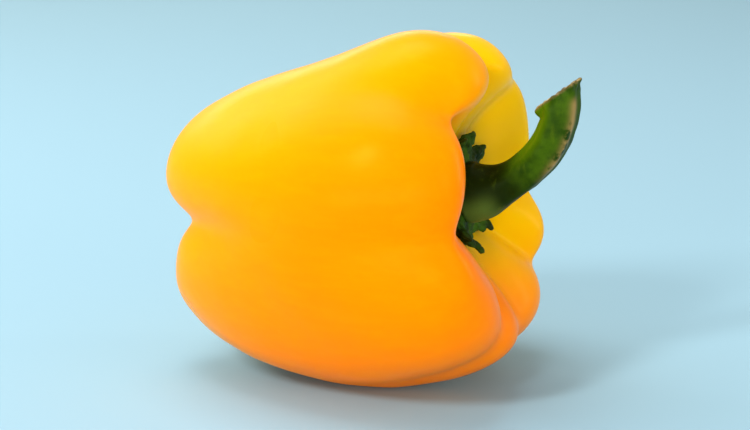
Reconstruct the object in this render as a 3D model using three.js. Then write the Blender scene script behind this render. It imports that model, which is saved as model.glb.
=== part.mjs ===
// A bell pepper lying on its side: the fruit, the calyx in its stem cavity and the cut stem.
// Millimetres, +Z up. The stem end faces +X, and the pepper rests on the plane z = 0.
//
// The fruit is a loft of rings round its own axis. Every meridian follows one outline, which
// the furrows push in and the lobes push out, by different amounts at the shoulder, on the
// side and at the blossom end. The calyx lies on the skin of the cavity, and the stem stands
// on the calyx, so both take their place from the fruit.
import * as THREE from "three";
import { LoftGeometry } from "three/addons/geometries/LoftGeometry.js";

// ---- Driving dimensions ----
const FRUIT_LENGTH = 84; // from the blossom end to the crest of the shoulder
const FRUIT_RADIUS = 45; // at the widest, just below the shoulder
const TIP_RADIUS = 29; // where the side turns in to the blossom end
const CAVITY_RADIUS = 29; // from the axis to the crest round the stem cavity
const CAVITY_DEPTH = 16.5; // from that crest down to the floor under the calyx
const CAVITY_RISE = 2.5; // how far the floor's centre lies above the fruit's axis
const DIMPLE_DEPTH = 6; // of the hollow in the blossom end
const CALYX_RADIUS = 12; // to the gaps between the sepals
const SEPAL_LENGTH = 3.5; // how much further the sepal tips reach
const SEPAL_CURL = 3; // how far the tips stand up off the fruit
const CALYX_THICKNESS = 2.2; // at the edge
const HUB_HEIGHT = 4; // of the calyx in its middle, where the stem stands
const FOOT_RADIUS = 7.8; // of the stem where it stands on the calyx
const STEM_RADIUS = 4.5; // halfway along
const SEAT_GAP = 0.5; // left along the axis between the pieces that touch
const REST_DEPTH = 0.8; // how far the skin is flattened where the fruit rests
const AXIS_TILT = 5.5; // degrees that the stem end is raised above the blossom end

const FRUIT_COLUMNS = 96;
const FRUIT_ROWS = 48;
const CALYX_COLUMNS = 64;
const STEM_COLUMNS = 30;
const STEM_ROWS = 26;

// ---- The outline of one meridian, from the cavity's floor to the blossom end ----
// Each point has its radius, its height above the blossom end, and its shares of the depths
// that furrows and lobes have at the crest, the bulge below it, the side and the blossom end.
const FLOOR = FRUIT_LENGTH - CAVITY_DEPTH;
const CREST_POINT = 4; // the place in the list of the crest round the cavity
const OUTLINE = [
  { r: 0, z: FLOOR, shares: [0, 0, 0, 0] },
  { r: 0.25 * CAVITY_RADIUS, z: FLOOR, shares: [0, 0, 0, 0] },
  { r: 0.48 * CAVITY_RADIUS, z: FLOOR + 0.15 * CAVITY_DEPTH, shares: [0.3, 0, 0, 0] },
  { r: 0.7 * CAVITY_RADIUS, z: FRUIT_LENGTH - 0.38 * CAVITY_DEPTH, shares: [0.75, 0, 0, 0] },
  { r: CAVITY_RADIUS, z: FRUIT_LENGTH + 2.2, shares: [1, 0, 0, 0] },
  { r: CAVITY_RADIUS + 9, z: FRUIT_LENGTH - 0.5, shares: [0.75, 0.25, 0, 0] },
  { r: FRUIT_RADIUS - 1, z: FRUIT_LENGTH - 9, shares: [0.3, 0.7, 0, 0] },
  { r: FRUIT_RADIUS + 1, z: FRUIT_LENGTH - 21, shares: [0, 0.8, 0.2, 0] },
  { r: FRUIT_RADIUS - 0.5, z: FRUIT_LENGTH - 35, shares: [0, 0.2, 0.8, 0] },
  { r: FRUIT_RADIUS - 4, z: FRUIT_LENGTH - 50, shares: [0, 0, 1, 0] },
  { r: TIP_RADIUS + 8, z: 0.24 * FRUIT_LENGTH, shares: [0, 0, 0.6, 0.4] },
  { r: TIP_RADIUS + 1, z: 0.08 * FRUIT_LENGTH, shares: [0, 0, 0.2, 0.8] },
  { r: 0.77 * TIP_RADIUS, z: -2.5, shares: [0, 0, 0, 1] },
  { r: 0.42 * TIP_RADIUS, z: 0.2 * DIMPLE_DEPTH, shares: [0, 0, 0, 0.8] },
  { r: 0.15 * TIP_RADIUS, z: DIMPLE_DEPTH, shares: [0, 0, 0, 0] },
  { r: 0, z: DIMPLE_DEPTH, shares: [0, 0, 0, 0] },
];

// ---- Furrows and lobes ----
// Angles are in degrees round the fruit's axis, from 0 at the top towards -Y. A furrow's and a
// lobe's depths are in mm at the crest, the bulge, the side and the blossom end, and a swelling
// is a depth below 0. Drift turns it by so many degrees from the stem end to the blossom end.
const FURROWS = [
  { angle: -5, drift: 0, width: 10, depths: [8.5, 6, 1.2, 3] },
  { angle: 41, drift: 0, width: 12, depths: [9, 4, 0.6, 0] },
  { angle: 96, drift: -10, width: 13, depths: [6.2, 4.3, 1, 8.5] },
  { angle: 155, drift: 0, width: 9, depths: [4.5, 3.2, 0.6, 0] },
  { angle: 184, drift: 4, width: 13, depths: [5, 4.5, 3.5, 5] },
  { angle: 229, drift: 0, width: 10, depths: [6.5, 5.5, 1, 0] },
  { angle: 265, drift: 0, width: 13, depths: [6, 4.5, 1.5, 5] },
  { angle: 322, drift: 0, width: 9, depths: [3.5, 2.5, 0.6, 1] },
];
const LOBES = [
  { angle: 17, drift: 0, width: 19, depths: [-0.6, -2.9, 0, 0] },
  { angle: -24, drift: 0, width: 44, depths: [1.6, -1.9, 7.6, 2.2] },
  { angle: 62, drift: 0, width: 35, depths: [0.8, 0.3, -0.5, -2.6] },
  { angle: 148, drift: 0, width: 30, depths: [-1.8, -0.2, -4, -4.7] },
  { angle: 166, drift: 0, width: 18, depths: [-1.5, 0, -1.5, -1] },
  { angle: 207, drift: 0, width: 26, depths: [0, -1.5, -6.9, -5] },
  { angle: 247, drift: 0, width: 14, depths: [-0.6, -1.2, 0, 0] },
  { angle: 286, drift: 0, width: 38, depths: [6, 3.5, 0, 0] },
];
const FURROW_CREASE = 4.5; // degrees either side of a furrow's floor that are rounded

const rad = THREE.MathUtils.degToRad;
const sum = (values) => values.reduce((total, value) => total + value, 0);

// The difference between two angles in degrees, from -180 to 180.
function turnBetween(a, b) {
  return THREE.MathUtils.euclideanModulo(a - b + 180, 360) - 180;
}

// 1 on a furrow's floor, falling away steeply at first, so that the lobes beside it are round.
function furrowShape(offset, width) {
  return Math.exp((FURROW_CREASE - Math.hypot(offset, FURROW_CREASE)) / width);
}

// 1 on a lobe's ridge, falling away as a bell curve.
function lobeShape(offset, width) {
  return Math.exp(-((offset / width) ** 2));
}

// How deep the skin is pushed in at an angle, at the outline point with this index.
function pushedIn(index, angle) {
  const along = index / (OUTLINE.length - 1);
  const { shares } = OUTLINE[index];
  const depthOf = (shape) => (f) =>
    shape(turnBetween(angle, f.angle + f.drift * along), f.width) *
    sum(f.depths.map((depth, zone) => depth * shares[zone]));
  return sum(FURROWS.map(depthOf(furrowShape))) + sum(LOBES.map(depthOf(lobeShape)));
}

// The outline's points at an angle, moved square to the outline, as (radius, height, rise of
// the centre that the radius is measured from).
function meridian(angle) {
  const points = OUTLINE.map(({ r, z }, i) => new THREE.Vector3(r, z, i < CREST_POINT ? CAVITY_RISE : 0));
  const last = points.length - 1;
  const mirrored = (p) => new THREE.Vector3(-p.x, p.y, p.z);
  const at = (i) => (i < 0 ? mirrored(points[1]) : i > last ? mirrored(points[last - 1]) : points[i]);
  const moved = points.map((point, i) => {
    const run = at(i + 1).clone().sub(at(i - 1));
    const inward = new THREE.Vector3(run.y, -run.x, 0).normalize();
    return point.clone().addScaledVector(inward, pushedIn(i, angle));
  });
  return [mirrored(moved[1]), ...moved, mirrored(moved[last - 1])];
}

// A point on the uniform cubic B-spline with these control points. t runs from 0 to 1.
function splinePoint(controls, t) {
  const spans = controls.length - 3;
  const span = Math.min(Math.floor(t * spans), spans - 1);
  const u = t * spans - span;
  const weights = [
    (1 - u) ** 3 / 6,
    (3 * u ** 3 - 6 * u ** 2 + 4) / 6,
    (-3 * u ** 3 + 3 * u ** 2 + 3 * u + 1) / 6,
    u ** 3 / 6,
  ];
  const point = new THREE.Vector3();
  weights.forEach((weight, i) => point.addScaledVector(controls[span + i], weight));
  return point;
}

// ---- The fruit's own axes, as it lies ----
const AXIS = new THREE.Vector3(Math.cos(rad(AXIS_TILT)), 0, Math.sin(rad(AXIS_TILT)));
const TOPWARD = new THREE.Vector3(-AXIS.z, 0, AXIS.x);
const SIDEWARD = new THREE.Vector3(0, -1, 0);

// The point at an angle round the axis, a radius from it and a height above the blossom end,
// moved upwards by a rise.
function place(angle, radius, height, rise) {
  return new THREE.Vector3()
    .addScaledVector(TOPWARD, radius * Math.cos(rad(angle)) + rise)
    .addScaledVector(SIDEWARD, radius * Math.sin(rad(angle)))
    .addScaledVector(AXIS, height);
}

// The angles of a ring's points. Rings in this order make a loft's faces look outwards when
// the rings follow each other along the axis, towards the stem.
function ringAngles(columns) {
  return Array.from({ length: columns }, (_, i) => (360 * i) / columns);
}

// ---- The fruit ----
function fruitRings() {
  const rows = Array.from({ length: FRUIT_ROWS + 1 }, (_, i) => 1 - i / FRUIT_ROWS);
  const meridians = ringAngles(FRUIT_COLUMNS).map((angle) => ({ angle, controls: meridian(angle) }));
  return rows.map((t) =>
    meridians.map(({ angle, controls }) => {
      const { x: radius, y: height, z: rise } = splinePoint(controls, t);
      return place(angle, radius, height, rise);
    }),
  );
}

// The height of the skin inside the cavity, found by halving the stretch from floor to crest.
function cavityHeight(angle, radius) {
  const controls = meridian(angle);
  let low = 0;
  let high = CREST_POINT / (OUTLINE.length - 1);
  for (let halvings = 0; halvings < 24; halvings++) {
    const middle = (low + high) / 2;
    if (splinePoint(controls, middle).x < radius) low = middle;
    else high = middle;
  }
  return splinePoint(controls, low).y;
}

// ---- The calyx ----
const SEPALS = [-16, 20, 56, 92, 132, 170, 221, 250, 279, 308]; // the angles of the tips
const SEPAL_WIDTH = 10; // degrees
const HUB_TOP = FLOOR + SEAT_GAP + HUB_HEIGHT;

// How far towards a sepal's tip an angle is, from 0 in the gaps to 1.
function sepalShare(angle) {
  return Math.max(...SEPALS.map((tip) => lobeShape(turnBetween(angle, tip), SEPAL_WIDTH)));
}

// A point of the calyx at a share of the way out from its centre to its edge. lift runs from 0
// on the underside to 1 on the top.
function calyxPoint(angle, share, lift) {
  const tip = sepalShare(angle) * share ** 4;
  const radius = share * CALYX_RADIUS + tip * SEPAL_LENGTH;
  const under = cavityHeight(angle, radius) + SEAT_GAP + tip * SEPAL_CURL;
  const hubShare = 1 - THREE.MathUtils.smoothstep(radius, FOOT_RADIUS + 0.4, CALYX_RADIUS);
  const top = THREE.MathUtils.lerp(under + CALYX_THICKNESS, HUB_TOP, hubShare);
  return place(angle, radius, THREE.MathUtils.lerp(under, top, lift), CAVITY_RISE);
}

function calyxRings() {
  const profile = [
    [0, 0], [0.35, 0], [0.62, 0], [0.82, 0], [0.95, 0.05], [1, 0.5],
    [0.95, 0.95], [0.86, 1], [0.77, 1], [0.7, 1], [0.4, 1], [0, 1],
  ];
  return profile.map(([share, lift]) =>
    ringAngles(CALYX_COLUMNS).map((angle) => calyxPoint(angle, share, lift)),
  );
}

// ---- The stem ----
// Its middle line from the calyx's hub, as (reach along the fruit's axis, rise). It leaves
// along the axis and then bends upwards.
const STEM_LINE = new THREE.CatmullRomCurve3(
  [[0, 0], [2.5, 0], [9.5, 2.3], [16, 6.4], [21, 12], [23.8, 18.5], [24.6, 24.5]].map(
    ([reach, rise]) => new THREE.Vector3(reach, rise, 0),
  ),
);
const FLARE_LENGTH = 7; // over which the foot narrows to the stem
const RIDGES = 5; // that run along the stem
const RIDGE_HEIGHT = 0.35;
const CUT_SLOPE = 0.8; // of the oblique cut, which is longest on the outside of the bend
const CUT_RUN = 0.4; // share of the stem over which its rings turn to the cut's slope
const LIP_REACH = 2; // how far the torn lip on the inside of the bend stands out

function stemRadius(angle, t, length) {
  const flare = lobeShape(t * length, FLARE_LENGTH);
  const round = THREE.MathUtils.lerp(STEM_RADIUS, FOOT_RADIUS, flare);
  const ridge = RIDGE_HEIGHT * Math.cos(rad(RIDGES * angle + 40 * t)) * (1 - flare);
  const lip = LIP_REACH * lobeShape(turnBetween(angle, 0), 35) * lobeShape(t - 1, 0.07);
  return round + ridge + lip;
}

// A point of the stem at a share t of its length, and a share out of its radius.
function stemPoint(angle, t, out) {
  const centre = STEM_LINE.getPointAt(t);
  const along = STEM_LINE.getTangentAt(t);
  const across = new THREE.Vector3(-along.y, along.x, 0);
  const radius = out * stemRadius(angle, t, STEM_LINE.getLength());
  const inside = radius * Math.cos(rad(angle));
  const turn = THREE.MathUtils.smoothstep(t, 1 - CUT_RUN, 1);
  centre.addScaledVector(across, inside).addScaledVector(along, -CUT_SLOPE * inside * turn);
  return new THREE.Vector3()
    .addScaledVector(AXIS, HUB_TOP + SEAT_GAP + centre.x)
    .addScaledVector(TOPWARD, centre.y + CAVITY_RISE)
    .addScaledVector(SIDEWARD, radius * Math.sin(rad(angle)));
}

function stemRings() {
  const side = Array.from({ length: STEM_ROWS + 1 }, (_, i) => [i / STEM_ROWS, 1]);
  const stations = [[0, 0], [0, 0.6], ...side, [1, 0.75], [1, 0.4], [1, 0]];
  return stations.map(([t, out]) =>
    ringAngles(STEM_COLUMNS).map((angle) => stemPoint(angle, t, out)),
  );
}

// ---- Assembly ----
// Lowers every ring by the same amount, flattens what would pass below z = 0, and centres the
// pepper over the origin.
function settle(rings) {
  const points = rings.flat();
  const lift = -Math.min(...points.map((p) => p.z)) - REST_DEPTH;
  for (const p of points) p.z = Math.max(p.z + lift, 0);
  const box = new THREE.Box3().setFromPoints(points);
  const { x, y } = box.getCenter(new THREE.Vector3());
  for (const p of points) p.sub(new THREE.Vector3(x, y, 0));
}

function piece(name, rings, color, roughness) {
  const material = new THREE.MeshStandardMaterial({ color, roughness, metalness: 0 });
  const mesh = new THREE.Mesh(new LoftGeometry(rings), material);
  mesh.name = name;
  return mesh;
}

const fruit = fruitRings();
const calyx = calyxRings();
const stem = stemRings();
settle([...fruit, ...calyx, ...stem]);

const pepper = new THREE.Group();
pepper.add(
  piece("fruit", fruit, 0xf7a600, 0.3),
  piece("calyx", calyx, 0x223f0c, 0.6),
  piece("stem", stem, 0x4a6a14, 0.5),
);

export default pepper;
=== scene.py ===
"""A yellow bell pepper lying on its side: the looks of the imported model, in metres.

Each of its three solids is copied, smoothed and given the small uneven shapes of a grown thing,
and the copy then stands for that solid. The materials are all procedural.
"""

import math

import bmesh
import bpy
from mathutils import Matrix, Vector, noise


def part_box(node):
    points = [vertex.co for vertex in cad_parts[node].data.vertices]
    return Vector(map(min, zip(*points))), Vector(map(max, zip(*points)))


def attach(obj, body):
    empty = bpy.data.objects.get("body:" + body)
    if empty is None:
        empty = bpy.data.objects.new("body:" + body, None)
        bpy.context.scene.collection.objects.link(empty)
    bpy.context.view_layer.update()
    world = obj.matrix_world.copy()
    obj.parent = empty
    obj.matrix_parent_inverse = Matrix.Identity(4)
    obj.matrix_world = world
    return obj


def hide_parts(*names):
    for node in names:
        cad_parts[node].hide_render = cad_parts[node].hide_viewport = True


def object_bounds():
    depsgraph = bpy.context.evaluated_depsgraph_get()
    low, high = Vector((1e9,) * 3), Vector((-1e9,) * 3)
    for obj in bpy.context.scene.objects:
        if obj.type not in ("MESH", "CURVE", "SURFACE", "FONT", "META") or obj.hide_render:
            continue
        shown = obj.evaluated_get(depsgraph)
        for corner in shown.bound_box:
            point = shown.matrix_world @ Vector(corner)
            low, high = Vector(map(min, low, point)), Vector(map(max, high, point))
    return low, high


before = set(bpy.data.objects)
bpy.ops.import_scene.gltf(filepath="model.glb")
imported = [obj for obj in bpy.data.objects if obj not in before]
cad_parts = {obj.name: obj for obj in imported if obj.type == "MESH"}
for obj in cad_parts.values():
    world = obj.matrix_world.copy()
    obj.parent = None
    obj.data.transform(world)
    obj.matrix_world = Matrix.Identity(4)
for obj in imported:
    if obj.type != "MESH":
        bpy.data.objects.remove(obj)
cad_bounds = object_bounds()

MM = 0.001
AXIS_TILT = math.radians(5.5)  # how far the stem end is raised above the blossom end
AXIS = Vector((math.cos(AXIS_TILT), 0, math.sin(AXIS_TILT)))
TOPWARD = Vector((-AXIS.z, 0, AXIS.x))
SIDEWARD = Vector((0, -1, 0))
SEAT_GAP = 0.5 * MM  # between the pieces that touch, along the axis

CAMERA_AZIMUTH = math.radians(22)
CAMERA_ELEVATION = math.radians(14)
CAMERA_DISTANCE = 520 * MM
CAMERA_LENS = 100
AIM_OFFSET = Vector((-0.9, -0.4, -3.8)) * MM  # from the middle of the pepper's box

STAGE_RADIUS = 3
STAGE_COLOR = (0.30, 0.475, 0.565)
WHITE = (1.0, 1.0, 1.0)
WARM = (1.0, 0.92, 0.74)
SKY_COLOR = (0.97, 0.985, 1.0)
SKY_STRENGTH = 0.5


# ---- Camera, stage and lights ----
def aim(ob, place, target):
    """Puts ob at place, looking at target."""
    ob.location = place
    ob.rotation_mode = "QUATERNION"
    ob.rotation_quaternion = (target - place).to_track_quat("-Z", "Y")


def link(name, data):
    ob = bpy.data.objects.new(name, data)
    bpy.context.scene.collection.objects.link(ob)
    return ob


def make_camera(middle):
    data = bpy.data.cameras.new("camera")
    data.lens = CAMERA_LENS
    data.clip_end = 50
    camera = link("camera", data)
    flat = math.cos(CAMERA_ELEVATION)
    back = Vector((
        math.sin(CAMERA_AZIMUTH) * flat,
        -math.cos(CAMERA_AZIMUTH) * flat,
        math.sin(CAMERA_ELEVATION),
    ))
    target = middle + AIM_OFFSET
    aim(camera, target + back * CAMERA_DISTANCE, target)
    bpy.context.scene.camera = camera


def make_stage():
    """A plain round floor, wide enough that its edge shows in no view from above."""
    bpy.ops.mesh.primitive_circle_add(vertices=128, radius=STAGE_RADIUS, fill_type="TRIFAN")
    stage = bpy.context.object
    stage.name = stage.data.name = "stage"
    stage.data.materials.append(stage_material())


def area_light(name, place, target, size, power, color=WHITE):
    data = bpy.data.lights.new(name, "AREA")
    data.shape = "RECTANGLE"
    data.size, data.size_y = size
    data.energy = power
    data.color = color
    aim(link(name, data), Vector(place), target)


def make_lights(middle):
    """A soft box overhead and a small one in front, one at the left whose light fades across the
    floor, two low fills, and two strips behind that draw a pale line along the edges."""
    left_floor = Vector((-0.45, 0.05, 0))
    area_light("key", (-0.18, 0.06, 0.9), middle, (0.5, 0.5), 4.3)
    area_light("window", (-0.27, -0.78, 0.68), middle, (0.13, 0.24), 6)
    area_light("left", (-0.6, 0.05, 0.45), left_floor, (0.5, 0.6), 2.0)
    area_light("front", (0.15, -1.0, 0.05), middle, (1.4, 0.3), 14)
    area_light("right", (0.75, -0.25, 0.25), middle, (0.3, 0.3), 1.3, WARM)
    area_light("back_left", (-0.55, 0.75, 0.4), middle, (0.9, 0.16), 1.9, WARM)
    area_light("back_right", (0.8, 0.5, 0.3), middle, (0.14, 0.5), 1.6, WARM)
    world = bpy.data.worlds.new("studio")
    bpy.context.scene.world = world
    world.use_nodes = True
    background = world.node_tree.nodes["Background"]
    background.inputs["Color"].default_value = rgb(*SKY_COLOR)
    background.inputs["Strength"].default_value = SKY_STRENGTH


# ---- Node helpers ----
class Nodes:
    """A material's node tree, with a short way to make and join its nodes."""

    def __init__(self, name):
        self.material = bpy.data.materials.new(name)
        self.material.use_nodes = True
        self.tree = self.material.node_tree
        self.shader = self.tree.nodes["Principled BSDF"]

    def add(self, kind, inputs=None, **settings):
        node = self.tree.nodes.new("ShaderNode" + kind)
        for key, value in settings.items():
            setattr(node, key, value)
        for key, value in (inputs or {}).items():
            self.give(node.inputs[key], value)
        return node

    def give(self, socket, value):
        """Joins value to the socket where it is another node's output, or else sets it there."""
        if isinstance(value, bpy.types.NodeSocket):
            self.tree.links.new(value, socket)
        else:
            socket.default_value = value

    def math(self, operation, *values):
        node = self.add("Math", operation=operation)
        for socket, value in zip(node.inputs, values):
            self.give(socket, value)
        return node.outputs[0]

    def times(self, first, second):
        return self.math("MULTIPLY", first, second)

    def attribute(self, name):
        return self.add("Attribute", attribute_name=name).outputs["Fac"]

    def position(self, scale=(1, 1, 1)):
        coordinates = self.add("TexCoord").outputs["Object"]
        return self.add("Mapping", {"Vector": coordinates, "Scale": scale}).outputs[0]

    def noise(self, vector, scale, detail, roughness=0.5):
        inputs = {"Vector": vector, "Scale": scale, "Detail": detail, "Roughness": roughness}
        return self.add("TexNoise", inputs).outputs["Fac"]

    def fade(self, value, low, high, to_low=0, to_high=1):
        """value from low..high onto to_low..to_high, eased and clamped."""
        node = self.add("MapRange", interpolation_type="SMOOTHSTEP")
        sockets = ("Value", "From Min", "From Max", "To Min", "To Max")
        for key, number in zip(sockets, (value, low, high, to_low, to_high)):
            self.give(node.inputs[key], number)
        return node.outputs["Result"]

    def mix(self, factor, first, second):
        """The colour first, turned into second by factor."""
        node = self.add("Mix", data_type="RGBA")
        for number, value in ((0, factor), (6, first), (7, second)):
            self.give(node.inputs[number], value)
        return node.outputs[2]

    def bump(self, height, distance, strength, normal=None):
        inputs = {"Height": height, "Distance": distance, "Strength": strength}
        if normal:
            inputs["Normal"] = normal
        return self.add("Bump", inputs).outputs["Normal"]

    def set(self, **values):
        """Gives the shader's sockets, named with _ for a space."""
        for key, value in values.items():
            self.give(self.shader.inputs[key.replace("_", " ")], value)


def rgb(red, green, blue):
    return (red, green, blue, 1)


# ---- Materials ----
LEMON = rgb(0.95, 0.405, 0.0)
ORANGE = rgb(0.98, 0.205, 0.0)
STREAK_YELLOW = rgb(0.98, 0.60, 0.0)
# Painted shade: the darker, more orange colour laid into the hollow furrows.
FURROW_SHADE = rgb(0.85, 0.33, 0.0)
LATE_YELLOW = rgb(0.85, 0.56, 0.0)
# Painted shade: the olive that darkens the skin in the hollow round the calyx.
CALYX_HOLLOW_SHADE = rgb(0.46, 0.28, 0.0)

CALYX_DARK = rgb(0.006, 0.018, 0.001)
CALYX_LIGHT = rgb(0.04, 0.10, 0.005)
CALYX_DRY = rgb(0.02, 0.016, 0.003)

STEM_DARK = rgb(0.012, 0.034, 0.0005)
STEM_LIGHT = rgb(0.035, 0.078, 0.001)
# Partly the foot's own darker green, partly painted shade where it sits in the calyx.
STEM_FOOT_DARK_AND_SHADE = rgb(0.005, 0.008, 0.0003)
# Painted light: brighter green on the upper, inside of the stem's bend.
STEM_PAINTED_LIGHT = rgb(0.08, 0.155, 0.001)
# Painted shade: darker green on the lower, outside of the stem's bend.
STEM_PAINTED_SHADE = rgb(0.012, 0.030, 0.001)
STEM_STREAK = rgb(0.07, 0.11, 0.003)
STEM_FLARE = rgb(0.085, 0.135, 0.020)
CORK = rgb(0.30, 0.19, 0.06)
CUT_DARK = rgb(0.10, 0.06, 0.02)
CUT_LIGHT = rgb(0.42, 0.29, 0.10)

GREEN_SHEEN = rgb(0.7, 1.0, 0.4)


def stage_material():
    nodes = Nodes("stage")
    nodes.set(Base_Color=rgb(*STAGE_COLOR), Roughness=0.9, Specular_IOR_Level=0.05)
    return nodes.material


def skin_color(nodes, patches):
    """Lemon yellow where the fruit ripened last, orange where it ripened first, with painted shade
    in the hollow furrows and an olive painted shade in the hollow round the calyx."""
    cloud = nodes.math("MULTIPLY_ADD", patches, 0.35, -0.175)
    ripe = nodes.fade(nodes.math("ADD", nodes.attribute("ripeness"), cloud), 0, 1)
    streaks = nodes.noise(nodes.position((50, 420, 420)), 1, 4, 0.6)
    color = nodes.mix(ripe, LEMON, ORANGE)
    color = nodes.mix(nodes.fade(streaks, 0.35, 0.8, 0, 0.04), color, STREAK_YELLOW)
    # Painted shade: darker and more orange where the skin is hollow, in the furrows.
    color = nodes.mix(nodes.fade(nodes.attribute("furrow"), 0.1, 1, 0, 0.35), color, FURROW_SHADE)
    color = nodes.mix(nodes.times(nodes.attribute("far_lobes"), 0.6), color, LATE_YELLOW)
    # Painted shade: olive in the hollow round the calyx, fading out with distance from it.
    return nodes.mix(nodes.fade(nodes.attribute("calyx_hollow_shade"), 0.1, 0.9, 0, 0.75), color, CALYX_HOLLOW_SHADE)


def skin_material():
    """Thin waxy skin over translucent flesh."""
    nodes = Nodes("skin")
    place = nodes.position()
    patches = nodes.noise(place, 22, 2)
    normal = nodes.bump(nodes.noise(place, 420, 2), 0.10 * MM, 0.35)
    normal = nodes.bump(nodes.noise(place, 1900, 2), 0.03 * MM, 0.25, normal)
    nodes.set(
        Base_Color=skin_color(nodes, patches),
        Roughness=nodes.fade(patches, 0.3, 0.7, 0.27, 0.34),
        Normal=normal,
        IOR=1.4,
        Specular_IOR_Level=0.13,
        Specular_Tint=rgb(1.0, 0.7, 0.05),
        Subsurface_Weight=0.2,
        Subsurface_Radius=(1.0, 0.45, 0.05),
        Subsurface_Scale=3 * MM,
    )
    return nodes.material


def calyx_material():
    """Dark matt green with lighter blotches, dry and brown along the edge."""
    nodes = Nodes("calyx")
    place = nodes.position()
    blotches = nodes.noise(place, 260, 4, 0.6)
    color = nodes.mix(nodes.fade(blotches, 0.35, 0.7), CALYX_DARK, CALYX_LIGHT)
    color = nodes.mix(nodes.fade(nodes.attribute("edge"), 0.8, 1.1, 0, 0.6), color, CALYX_DRY)
    nodes.set(
        Base_Color=color,
        Roughness=nodes.fade(blotches, 0.3, 0.7, 0.5, 0.7),
        Normal=nodes.bump(nodes.noise(place, 900, 5, 0.6), 0.25 * MM, 0.7),
        Specular_IOR_Level=0.15,
        Specular_Tint=GREEN_SHEEN,
    )
    return nodes.material


def stem_color(nodes, blotches, streaks, corky):
    """Dark at the foot, partly its own darker green and partly painted shade where it sits in the
    calyx, pale where the foot spreads, painted light on the upper inside of the bend and painted
    shade on the lower outside, with dry corky scars and a dry brown cut."""
    along, inside, flare = (nodes.attribute(name) for name in ("along", "inside", "flare"))
    # Painted light on the upper inside of the bend, painted shade on the lower outside.
    painted_light_mask = nodes.times(nodes.fade(inside, 0.1, 0.75), nodes.fade(along, 0.3, 0.6))
    painted_shade_mask = nodes.times(nodes.fade(inside, -0.5, -0.85), nodes.fade(along, 0.95, 0.6))
    dry = nodes.times(nodes.attribute("cut"), nodes.fade(blotches, 0.25, 0.6, 0.55, 1))
    color = nodes.mix(nodes.fade(blotches, 0.3, 0.7), STEM_DARK, STEM_LIGHT)
    # Darker at the foot: partly its own colour, partly painted shade in the calyx.
    color = nodes.mix(nodes.fade(along, 0.5, 0.2, 0, 0.9), color, STEM_FOOT_DARK_AND_SHADE)
    # Painted light on the inside of the bend, then painted shade on the outside.
    color = nodes.mix(nodes.times(painted_light_mask, 0.8), color, STEM_PAINTED_LIGHT)
    color = nodes.mix(nodes.times(painted_shade_mask, 0.5), color, STEM_PAINTED_SHADE)
    color = nodes.mix(nodes.fade(streaks, 0.55, 0.75, 0, 0.4), color, STEM_STREAK)
    color = nodes.mix(nodes.times(flare, 0.9), color, STEM_FLARE)
    color = nodes.mix(corky, color, CORK)
    return nodes.mix(dry, color, nodes.mix(nodes.fade(blotches, 0.4, 0.6), CUT_DARK, CUT_LIGHT))


def stem_material():
    """Firm green skin, streaked along its length."""
    nodes = Nodes("stem")
    blotches = nodes.noise(nodes.position(), 190, 4, 0.6)
    streaks = nodes.noise(nodes.position((420, 420, 120)), 1, 4, 0.6)
    corky = nodes.times(nodes.attribute("scar"), nodes.fade(blotches, 0.38, 0.5))
    normal = nodes.bump(streaks, 0.25 * MM, 0.45)
    normal = nodes.bump(corky, 0.2 * MM, 0.5, normal)
    nodes.set(
        Base_Color=stem_color(nodes, blotches, streaks, corky),
        Roughness=nodes.fade(blotches, 0.3, 0.7, 0.38, 0.55),
        Normal=normal,
        Specular_IOR_Level=0.09,
        Specular_Tint=GREEN_SHEEN,
    )
    return nodes.material


# ---- Mesh helpers ----
WELD = 0.001 * MM
SUBDIVISIONS = 2


def copy_of(node):
    """The solid's mesh as a bmesh of four-sided faces, where its triangles pair up."""
    bm = bmesh.new()
    bm.from_mesh(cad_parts[node].data)
    bmesh.ops.remove_doubles(bm, verts=bm.verts, dist=WELD)
    bmesh.ops.dissolve_degenerate(bm, edges=bm.edges, dist=WELD)
    bmesh.ops.join_triangles(
        bm, faces=bm.faces, angle_face_threshold=math.radians(60), angle_shape_threshold=math.radians(80)
    )
    return bm


def subdivided(bm, name):
    """The bmesh as an object, with a subdivision surface applied to its mesh."""
    mesh = bpy.data.meshes.new(name)
    bm.to_mesh(mesh)
    bm.free()
    ob = link(name, mesh)
    modifier = ob.modifiers.new("smooth", "SUBSURF")
    modifier.levels = modifier.render_levels = SUBDIVISIONS
    evaluated = ob.evaluated_get(bpy.context.evaluated_depsgraph_get())
    ob.data = bpy.data.meshes.new_from_object(evaluated)
    ob.modifiers.clear()
    bpy.data.meshes.remove(mesh)
    ob.data.name = name
    ob.data.shade_smooth()
    return ob


def give_attribute(mesh, name, values):
    layer = mesh.attributes.new(name, "FLOAT", "POINT")
    layer.data.foreach_set("value", values)


def finish_piece(ob, node, material):
    ob.data.materials.clear()
    ob.data.materials.append(material)
    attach(ob, "root")
    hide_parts(node)


def ease(value, low, high):
    """value from low..high onto 0..1, eased and clamped."""
    t = min(max((value - low) / (high - low), 0), 1)
    return t * t * (3 - 2 * t)


def bell(value, middle, width):
    return math.exp(-((value - middle) / width) ** 2)


def move_points(mesh, places):
    for v, place in zip(mesh.vertices, places):
        v.co = place


def displace(mesh, lift):
    """Moves every point along its normal by what lift gives for its place."""
    move_points(mesh, [v.co + v.normal * lift(v.co) for v in mesh.vertices])


# ---- The fruit ----
RIPE_SIDE = Vector((0.46, -0.76, -0.4))  # towards the side that is more orange
RIPE_MIDDLE = 0.42  # how ripe the middle is, from 0 for lemon yellow to 1 for orange
RIPE_SPAN = 72 * MM  # between those two
FAR_LOBES = Vector((0, 14, 8)) * MM  # from the calyx to the lobes that stay lemon yellow
FAR_REACH = (20 * MM, 42 * MM)
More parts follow.
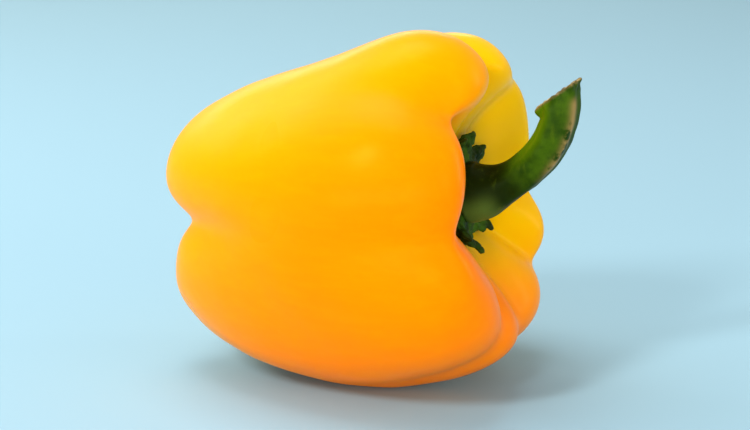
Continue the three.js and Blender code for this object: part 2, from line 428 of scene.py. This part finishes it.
# How far the painted shade round the calyx reaches.
CALYX_SHADE_REACH = (9 * MM, 27 * MM)
FURROW_BEND = 120  # 1/m, the hollow curve that counts as a full furrow
FURROW_BLURS = 3


def skin_swell(place):
    """Low swellings over the whole skin, with finer ones on them."""
    return 0.45 * MM * noise.noise(place * 42) + 0.15 * MM * noise.noise(place * 110)


def nearness(mesh, middle, reach):
    """1 at the points within the near end of reach from middle, easing to 0 at its far end."""
    return [1 - ease((v.co - middle).length, *reach) for v in mesh.vertices]


def make_fruit(calyx_middle):
    ob = subdivided(copy_of("fruit"), "pepper_fruit")
    mesh = ob.data
    low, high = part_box("fruit")
    displace(mesh, skin_swell)
    for v in mesh.vertices:
        v.co.z = max(v.co.z, low.z)
    middle = (low + high) / 2
    give_attribute(mesh, "ripeness", [
        RIPE_MIDDLE + (v.co - middle).dot(RIPE_SIDE) / RIPE_SPAN for v in mesh.vertices
    ])
    give_attribute(mesh, "far_lobes", nearness(mesh, calyx_middle + FAR_LOBES, FAR_REACH))
    # The mask of the painted shade in the hollow round the calyx.
    give_attribute(mesh, "calyx_hollow_shade", nearness(mesh, calyx_middle, CALYX_SHADE_REACH))
    give_attribute(mesh, "furrow", furrow_values(mesh))
    finish_piece(ob, "fruit", skin_material())


# The mask of the painted shade in the furrows.
def furrow_values(mesh):
    """How hollow the surface is at each point, from 0, averaged over its neighbours."""
    bm = bmesh.new()
    bm.from_mesh(mesh)
    values = []
    for v in bm.verts:
        edges = [e.other_vert(v).co - v.co for e in v.link_edges]
        values.append(sum(d.dot(v.normal) / d.length_squared for d in edges) / len(edges))
    around = [[e.other_vert(v).index for e in v.link_edges] for v in bm.verts]
    bm.free()
    for _ in range(FURROW_BLURS):
        values = [
            (value + sum(values[other] for other in others)) / (1 + len(others))
            for value, others in zip(values, around)
        ]
    return [max(0, value / FURROW_BEND) for value in values]


# ---- The calyx ----
CALYX_RADIUS = 15 * MM  # at the tips of the sepals
CRUMPLE = 0.7 * MM
CRUMPLE_REACH = (5 * MM, 10 * MM)  # from the axis: flat within the first, full from the second
CALYX_DROP = 0.7 * SEAT_GAP


def make_calyx():
    """The calyx, lowered onto the skin, with crumpled sepals. Gives back its middle."""
    ob = subdivided(copy_of("calyx"), "pepper_calyx")
    mesh = ob.data
    low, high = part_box("calyx")
    middle = (low + high) / 2

    def radius(place):
        offset = place - middle
        return (offset - AXIS * offset.dot(AXIS)).length

    def crumple(place):
        return CRUMPLE * noise.fractal(place * 500, 0.7, 2.1, 3) * ease(radius(place), *CRUMPLE_REACH)

    displace(mesh, crumple)
    move_points(mesh, [v.co - AXIS * CALYX_DROP for v in mesh.vertices])
    give_attribute(mesh, "edge", [radius(v.co) / CALYX_RADIUS for v in mesh.vertices])
    finish_piece(ob, "calyx", calyx_material())
    return middle


# ---- The stem ----
# Its middle line from the foot to the cut, as (reach along the fruit's axis, rise) in mm.
STEM_LINE = [(0, 0), (2.5, 0), (9.5, 2.3), (16, 6.4), (21, 12), (23.8, 18.5), (24.6, 24.5)]
FOOT_RADIUS = 7.8 * MM
FOOT_DROP = 2 * SEAT_GAP
CUT_SLOPE = 0.8  # of the oblique cut, which is longest on the outside of the bend
SCAR_ANGLE = 152  # round the stem, in degrees, as stem_place gives it
SCAR_WIDTH = 15


def stem_line():
    low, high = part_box("stem")
    middle = (low + high) / 2
    foot = Vector((low.x + FOOT_RADIUS * AXIS.z, middle.y, low.z + FOOT_RADIUS * AXIS.x))
    return [foot + (AXIS * reach + TOPWARD * rise) * MM for reach, rise in STEM_LINE]


def stem_place(line, place):
    """Where a point of the stem lies: how far along it in metres, and at which angle in degrees
    round it, from 0 on the inside of the bend, with 90 on the near side."""
    walked = 0
    found = []
    for start, end in zip(line, line[1:]):
        run = end - start
        share = min(max((place - start).dot(run) / run.length_squared, 0), 1)
        offset = place - (start + run * share)
        found.append((offset.length, walked + share * run.length, offset, run.normalized()))
        walked += run.length
    _, reached, offset, along = min(found, key=lambda entry: entry[0])
    across = SIDEWARD.cross(along)
    return reached, math.degrees(math.atan2(offset.dot(SIDEWARD), offset.dot(across)))


def below_cut(line):
    """A function that gives how far a point lies below the plane of the cut."""
    along = (line[-1] - line[-2]).normalized()
    normal = (along + SIDEWARD.cross(along) * CUT_SLOPE).normalized()
    return lambda place: (line[-1] - place).dot(normal)


def stem_point(v, reached, depth):
    """The vertex's new place: uneven all over, ragged at the cut, and sunk into the calyx at the
    foot."""
    ragged = 1 - ease(depth, 0.3 * MM, 3 * MM)
    lift = 0.15 * MM * noise.noise(v.co * 300) + 0.5 * MM * ragged * noise.noise(v.co * 700)
    return v.co + v.normal * lift - AXIS * FOOT_DROP * (1 - ease(reached, 0, 5 * MM))


def make_stem():
    ob = subdivided(copy_of("stem"), "pepper_stem")
    mesh = ob.data
    line = stem_line()
    length = sum((end - start).length for start, end in zip(line, line[1:]))
    places = [stem_place(line, v.co) for v in mesh.vertices]
    depths = [below_cut(line)(v.co) for v in mesh.vertices]
    move_points(mesh, [
        stem_point(v, reached, depth) for v, (reached, _), depth in zip(mesh.vertices, places, depths)
    ])
    shares = [reached / length for reached, _ in places]
    give_attribute(mesh, "along", shares)
    give_attribute(mesh, "inside", [math.cos(math.radians(angle)) for _, angle in places])
    give_attribute(mesh, "flare", [
        (1 - ease(reached, 3 * MM, 9 * MM)) * ease(abs(angle), 80, 125) for reached, angle in places
    ])
    give_attribute(mesh, "scar", [
        bell(angle, SCAR_ANGLE, SCAR_WIDTH) * ease(share, 0.4, 0.6) * (1 - ease(share, 0.93, 1))
        for share, (_, angle) in zip(shares, places)
    ])
    give_attribute(mesh, "cut", [1 - ease(depth, 0.2 * MM, 0.9 * MM) for depth in depths])
    finish_piece(ob, "stem", stem_material())


box_low, box_high = cad_bounds
box_middle = (box_low + box_high) / 2
make_camera(box_middle)
make_stage()
make_lights(box_middle)
calyx_middle = make_calyx()
make_fruit(calyx_middle)
make_stem()
bpy.context.scene.view_settings.view_transform = "Standard"
